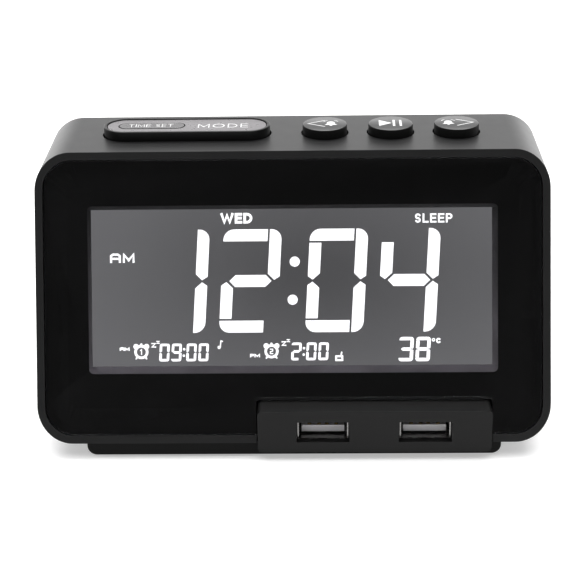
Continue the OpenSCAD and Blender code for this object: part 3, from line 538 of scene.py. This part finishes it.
def lettering(text, width, height, weight, space=LETTER_SPACE):
    """Loops of a word drawn with an even line, centred, width by height overall."""
    lines, x = [], 0.0
    for sign in text:
        letter_width, letter_lines = LETTERS[sign]
        lines += moved(letter_lines, x, 0)
        x += letter_width + space
    across = (width - weight) / (x - space)
    loops = []
    for line in lines:
        line = [(px * across - (width - weight) / 2, (py - 0.5) * (height - weight)) for px, py in line]
        loops += strokes(line, weight, square=True)
    return loops


# ---------- display ----------

SEGMENTS = {
    "0": "abcdef", "1": "bc", "2": "abdeg", "3": "abcdg", "4": "bcfg", "8": "abcdefg", "9": "abcdfg",
}
# Shares of a segment's thickness: its corner's radius and the cuts at its end
CORNER = 0.86
SHORT_CUT, LONG_CUT = 0.29, 0.52
# How far a figure leans to the right for each mm of height
SLANT = 0.057


def segment_loops(w, h, t, gap):
    """The seven segments of a figure w wide, h high and t thick, from its lower left corner."""
    m, r, g = h / 2, t * CORNER, gap / 2
    top = [(0, h - t)] + arc(r, h - r, r, 180, 90, 6) + [(w - t - gap, h), (w - t - gap, h - t)]
    upper_left = [(0, h - t - gap), (0, m + g + SHORT_CUT * t), (0.42 * t, m + g),
        (t, m + g + LONG_CUT * t), (t, h - t - gap)]
    upper_right = [(w - t, h)] + arc(w - r, h - r, r, 90, 0, 6) + [
        (w, m + g + SHORT_CUT * t), (w - 0.45 * t, m + g), (w - t, m + g + LONG_CUT * t)]
    inset = 0.5 * t + gap
    middle = [(inset, m), (inset + t / 2, m + t / 2), (w - inset - t / 2, m + t / 2), (w - inset, m),
        (w - inset - t / 2, m - t / 2), (inset + t / 2, m - t / 2)]

    def mirrored(loop):
        return [(x, h - y) for x, y in loop]

    return {"a": top, "b": upper_right, "c": mirrored(upper_right), "d": mirrored(top),
        "e": mirrored(upper_left), "f": upper_left, "g": middle}


def figures(text, w, h, t, gap, pitch, colon=0.0):
    """Loops of a row of seven-segment figures from the lower left corner of the first."""
    loops = []
    x = 0.0
    for sign in text:
        if sign == ":":
            middle = x + (colon - (pitch - w)) / 2
            loops += [disc(middle + SLANT * y, y, t * 0.5, 16) for y in (h * 0.32, h * 0.68)]
            x += colon
            continue
        shapes = segment_loops(w, h, t, gap)
        loops += [[(x + px + SLANT * py, py) for px, py in shapes[key]] for key in SEGMENTS[sign]]
        x += pitch
    return loops


# The lit field and, over it, the lit figures: plates just in front of the cell
PLATE = 0.06
N_GLASS = behind_rim("lcd_glass")
N_FIELD = N_GLASS - PLATE * 0.6
N_LIT = N_GLASS - PLATE * 1.5
FIELD_MARGIN = 0.5
FIELD_S = (17.6, 61.9)
# Width, height, thickness, gap and pitch of the three sizes of figure
BIG = dict(w=15.1, h=26.85, t=3.1, gap=0.52, pitch=18.74)
SMALL = dict(w=2.62, h=4.65, t=0.66, gap=0.06, pitch=3.16, colon=0.72)
MIDDLING = dict(w=3.75, h=6.35, t=0.88, gap=0.08, pitch=4.38)
BIG_S = 28.52
HOURS_X, MINUTES_X = -38.0, 3.15
COLON_DOTS = ((0.6, 46.9), (0.0, 37.0))
COLON_R = 1.32
# The alarm clock icon: radius and line of its dial, its foot's line and its figure's line
DIAL_R, DIAL_LINE = 1.85, 0.66
FOOT_LINE = 0.42
ONE_LINE, TWO_LINE = 0.3, 0.26
ONE = [(-0.2, 0.4), (0.05, 0.6), (0.05, -0.6)]
TWO = [(-0.3, 0.55), (0.3, 0.55), (0.3, 0.05), (-0.3, -0.1), (-0.3, -0.6), (0.35, -0.6)]


def on_display(name, loops, x, s, material=LIT_SEGMENT, depth=N_LIT):
    mesh = prisms(name, loops, PLATE)
    mesh.transform(face_matrix(x, s, depth))
    return add_piece(name, mesh, "case", material)


def display_field():
    """The lit ground of the display, just in front of the cell."""
    half_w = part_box("lcd_glass")[1].x / MM - FIELD_MARGIN
    low, high = FIELD_S
    corners = [(-half_w, low), (half_w, low), (half_w, high), (-half_w, high)]
    on_display("display_field", [corners], 0, 0, LIT_FIELD, N_FIELD)


def clock_icon(name, x, s, sign, line):
    """A bell-topped alarm clock with a figure on its dial."""
    loops = ring(0, 0, DIAL_R, DIAL_LINE) + [disc(0, 1.95, 0.32, 12)]
    for side in (-1, 1):
        loops.append(disc(side * 1.38, 1.42, 0.7, 20))
        loops += strokes([(side * 1.1, -1.4), (side * 1.35, -1.75)], FOOT_LINE)
    loops += strokes(sign, line)
    on_display(name, loops, x, s)


def small_legends():
    """The words, small figures and icons round the time, each at its own place on the face."""
    for name, text, x, s, width, height, weight, space in (
            ("day_legend", "WED", -14.45, 58.25, 8.3, 2.75, 0.68, 0.46),
            ("sleep_legend", "SLEEP", 36.6, 57.95, 9.8, 2.4, 0.46, 0.42),
            ("morning_legend", "aM", -44.25, 48.1, 6.4, 2.45, 0.55, 0.4),
            ("alarm_one_mark", "aM", -43.9, 24.4, 2.6, 0.95, 0.3, 0.3),
            ("alarm_two_mark", "PM", -9.9, 22.5, 2.6, 0.95, 0.3, 0.3),
            ("degree_letter", "C", 37.75, 26.15, 1.2, 1.5, 0.42, 0)):
        on_display(name, lettering(text, width, height, weight, space), x, s)
    on_display("degree_mark", ring(0, 0, 0.45, 0.26), 36.5, 26.35)
    on_display("alarm_one_figures", figures("09:00", **SMALL), -34.95, 21.1)
    on_display("alarm_two_figures", figures("2:00", **SMALL), -0.55, 21.2)
    on_display("temperature_figures", figures("38", **MIDDLING), 27.35, 20.8)
    clock_icon("alarm_one_clock", -39.55, 23.6, ONE, ONE_LINE)
    clock_icon("alarm_two_clock", -5.6, 23.6, TWO, TWO_LINE)
    snooze = lettering("Z", 1.25, 1.25, 0.34) + moved(lettering("Z", 0.9, 0.8, 0.26), 1.15, 0.75)
    for name, x, s in (("alarm_one_snooze", -36.3, 25.35), ("alarm_two_snooze", -2.35, 25.6)):
        on_display(name, snooze, x, s)
    note = [disc(-0.35, -0.8, 0.42, 16)] + strokes([(-0.05, -0.8), (0.15, 0.9), (0.55, 0.75)], 0.3)
    on_display("tune_mark", note, -18.9, 25.5)
    radio = strokes([(-0.8, -0.75), (0.8, -0.75), (0.8, 0.25), (-0.8, 0.25), (-0.8, -0.75)], 0.5)
    radio += strokes([(0.45, 0.3), (0.65, 1.3)], 0.4)
    on_display("radio_mark", radio, 12.0, 21.95)


display_field()
on_display("hour_figures", figures("12", **BIG), HOURS_X, BIG_S)
on_display("minute_figures", figures("04", **BIG), MINUTES_X, BIG_S)
on_display("clock_colon", [disc(x, s, COLON_R) for x, s in COLON_DOTS], 0, 0)
small_legends()


# ---------- key legends ----------

INK = 0.05
CHEVRON_LENGTH, CHEVRON_HEIGHT, CHEVRON_LINE = 4.3, 4.9, 0.34
PLAY_SIGN = [(-3.1, 2.2), (0.3, -0.15), (-3.1, -2.5)]
PAUSE_BAR = [(-0.3, 2.3), (0.3, 2.3), (0.3, -2.6), (-0.3, -2.6)]
PAUSE_XS = (0.85, 2.6)


def on_key(name, loops, node, dx=0.0, dy=0.0):
    """Ink on a key's top, placed from the middle of the key."""
    lo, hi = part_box(node)
    mesh = prisms(name, loops, INK)
    mesh.transform(top_matrix((lo.x + hi.x) / 2 + dx * MM, (lo.y + hi.y) / 2 + dy * MM, hi.z))
    return add_piece(name, mesh, BODY_OF[node], KEY_INK)


def bell(x, y, size):
    """A bell with a ringing line on each side."""
    dome = arc(0, 0.12, 0.3, 165, 15, 8)
    body = [(-0.5, -0.42), (-0.32, -0.15)] + dome + [(0.32, -0.15), (0.5, -0.42)]
    loops = [body, disc(0, -0.52, 0.12, 14)]
    for side in (-1, 1):
        loops += strokes(arc(0, 0.1, 0.62, 90 - side * 60, 90 - side * 28, 5), 0.075)
    return moved(loops, x, y, size)


def chevron(tip_x, tip_y, way):
    """A chevron that points left, where way is -1, or right, where it is 1."""
    ends = [(tip_x - way * CHEVRON_LENGTH, tip_y + side * CHEVRON_HEIGHT / 2) for side in (-1, 1)]
    return strokes([ends[0], (tip_x, tip_y), ends[1]], CHEVRON_LINE)


on_key("back_legend", chevron(-4.4, -0.1, -1) + bell(1.6, 0.1, 3.4), "back_button")
on_key("forward_legend", bell(-2.2, 0.1, 3.2) + chevron(4.4, -0.1, 1), "forward_button")
on_key("play_legend", [PLAY_SIGN] + [moved([PAUSE_BAR], x, 0)[0] for x in PAUSE_XS], "play_button")
on_key("time_set_legend", lettering("TIME SET", 11.8, 2.3, 0.2, 0.36), "time_set_key", -0.2)
on_key("mode_legend", lettering("MODE", 13.3, 3.0, 0.3, 0.38), "mode_key", 9.65, -0.45)


# ---------- light, floor and camera ----------

FLOOR_GLOW = 0.42
FLOOR_REACH = 2.5
# Place, aim, size and power of the light above and behind
LIGHT_AT = (0, 0.35, 1.2)
LIGHT_AIM = (0, 0, 0.03)
LIGHT_SIZE = (1.5, 1.2)
LIGHT_WATTS = 24


def add_floor():
    mesh = bpy.data.meshes.new("floor")
    corners = [(x * FLOOR_REACH, y * FLOOR_REACH, 0) for x, y in ((-1, -1), (1, -1), (1, 1), (-1, 1))]
    mesh.from_pydata(corners, [], [(0, 1, 2, 3)])
    paper = moulded("floor_paper", (0.68, 0.68, 0.68), 0.7, grain_mm=0.5, spread=0.01,
        Emission_Color=(1, 1, 1, 1), Emission_Strength=FLOOR_GLOW)
    mesh.materials.append(paper.material)
    link("floor", mesh)


def add_light():
    light = bpy.data.lights.new("overhead", "AREA")
    light.shape = "RECTANGLE"
    light.size, light.size_y = LIGHT_SIZE
    light.energy = LIGHT_WATTS
    obj = link("overhead", light)
    obj.location = LIGHT_AT
    obj.rotation_euler = (Vector(LIGHT_AIM) - Vector(LIGHT_AT)).to_track_quat("-Z", "Y").to_euler()


def grey_ramp(nodes, stops):
    """A ramp of greys, which may be brighter than white."""
    node = nodes.new("ShaderNodeValToRGB")
    elements = node.color_ramp.elements
    while len(elements) < len(stops):
        elements.new(0.5)
    for element, (at, value) in zip(elements, stops):
        element.position = at
        element.color = (value, value, value, 1)
    return node


# Brightness of the room by the sine of the height above the horizon
BRIGHT_SIDE = ((0.0, 2.6), (0.08, 2.3), (0.2, 1.45), (0.36, 0.86), (0.6, 0.75), (1.0, 0.9))
DARK_SIDE = (
    (0.0, 0.3), (0.05, 0.14), (0.2, 0.12), (0.4, 0.08), (0.72, 0.10), (0.86, 3.5), (0.94, 3.5), (1.0, 0.9))
# The dark side gives way to the bright side between these directions, front to back
DARK_UNTIL, BRIGHT_FROM = -0.35, 0.15


def add_world():
    """A pale studio: bright behind and beside the radio, with dark flags on the front side."""
    world = bpy.data.worlds.new("studio")
    bpy.context.scene.world = world
    world.use_nodes = True
    nodes, links = world.node_tree.nodes, world.node_tree.links
    split = nodes.new("ShaderNodeSeparateXYZ")
    links.new(nodes.new("ShaderNodeTexCoord").outputs["Generated"], split.inputs["Vector"])
    depth = nodes.new("ShaderNodeMapRange")
    depth.interpolation_type = "SMOOTHSTEP"
    depth.inputs["From Min"].default_value = DARK_UNTIL
    depth.inputs["From Max"].default_value = BRIGHT_FROM
    links.new(split.outputs["Y"], depth.inputs["Value"])
    mix = nodes.new("ShaderNodeMix")
    mix.data_type = "RGBA"
    links.new(depth.outputs["Result"], mix.inputs["Factor"])
    for stops, socket in ((DARK_SIDE, "A"), (BRIGHT_SIDE, "B")):
        ramp = grey_ramp(nodes, stops)
        links.new(split.outputs["Z"], ramp.inputs["Fac"])
        links.new(ramp.outputs["Color"], mix.inputs[socket])
    links.new(mix.outputs["Result"], nodes["Background"].inputs["Color"])


LENS, SENSOR = 97.7, 36
# The camera's angles in degrees
LOOK_DOWN = 24.41
LOOK_ASIDE = -1.36
ROLL = 0.94
CAMERA_AT = Vector((0.00759, CASE_LOW.y - 0.35221, CASE_LOW.z + 0.20396))


def add_camera():
    camera = bpy.data.cameras.new("camera")
    camera.lens = LENS
    camera.sensor_width = SENSOR
    obj = link("camera", camera)
    down, aside, roll = (math.radians(a) for a in (LOOK_DOWN, LOOK_ASIDE, ROLL))
    obj.matrix_world = Matrix.Translation(CAMERA_AT) @ Matrix.Rotation(-aside, 4, "Z") @ Matrix.Rotation(
        math.pi / 2 - down, 4, "X") @ Matrix.Rotation(-roll, 4, "Z")
    bpy.context.scene.camera = obj


add_floor()
add_world()
add_light()
add_camera()
bpy.context.scene.view_settings.view_transform = "Standard"
